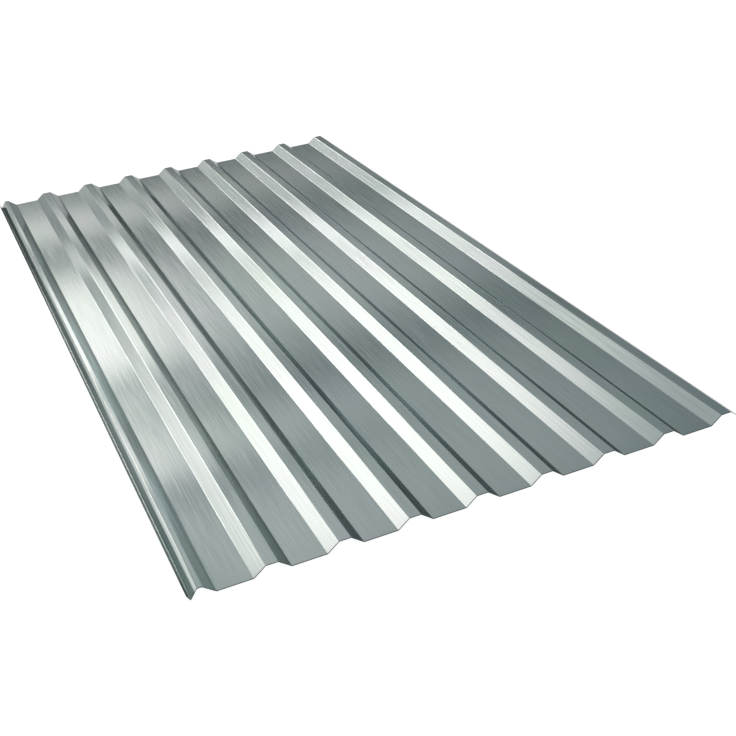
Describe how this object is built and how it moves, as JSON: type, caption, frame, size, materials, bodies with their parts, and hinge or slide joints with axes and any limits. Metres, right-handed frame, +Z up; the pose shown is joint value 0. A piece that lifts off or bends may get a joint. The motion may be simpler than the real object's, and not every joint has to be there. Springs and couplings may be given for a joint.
{
  "type": "corrugated metal sheet",
  "caption": "Trapezoidal profiled sheet of galvanised steel for roofs, walls and fences, with a grooved under-lap edge and a plain over-lap edge.",
  "frame": {"origin": "middle of the sheet's footprint, on the surface that the undersides of the pans lie on", "axes": "+Y along the ribs, +X across them from the under-lap edge to the over-lap edge, +Z up out of the weather side"},
  "size_m": [1.15, 2.225, 0.019],
  "materials": {
    "galvanised_steel": "bright smooth zinc coating with fine lengthwise rolling lines and no spangle"
  },
  "bodies": {
    "root": {"profiled_sheet": "galvanised_steel"}
  },
  "joints": []
}
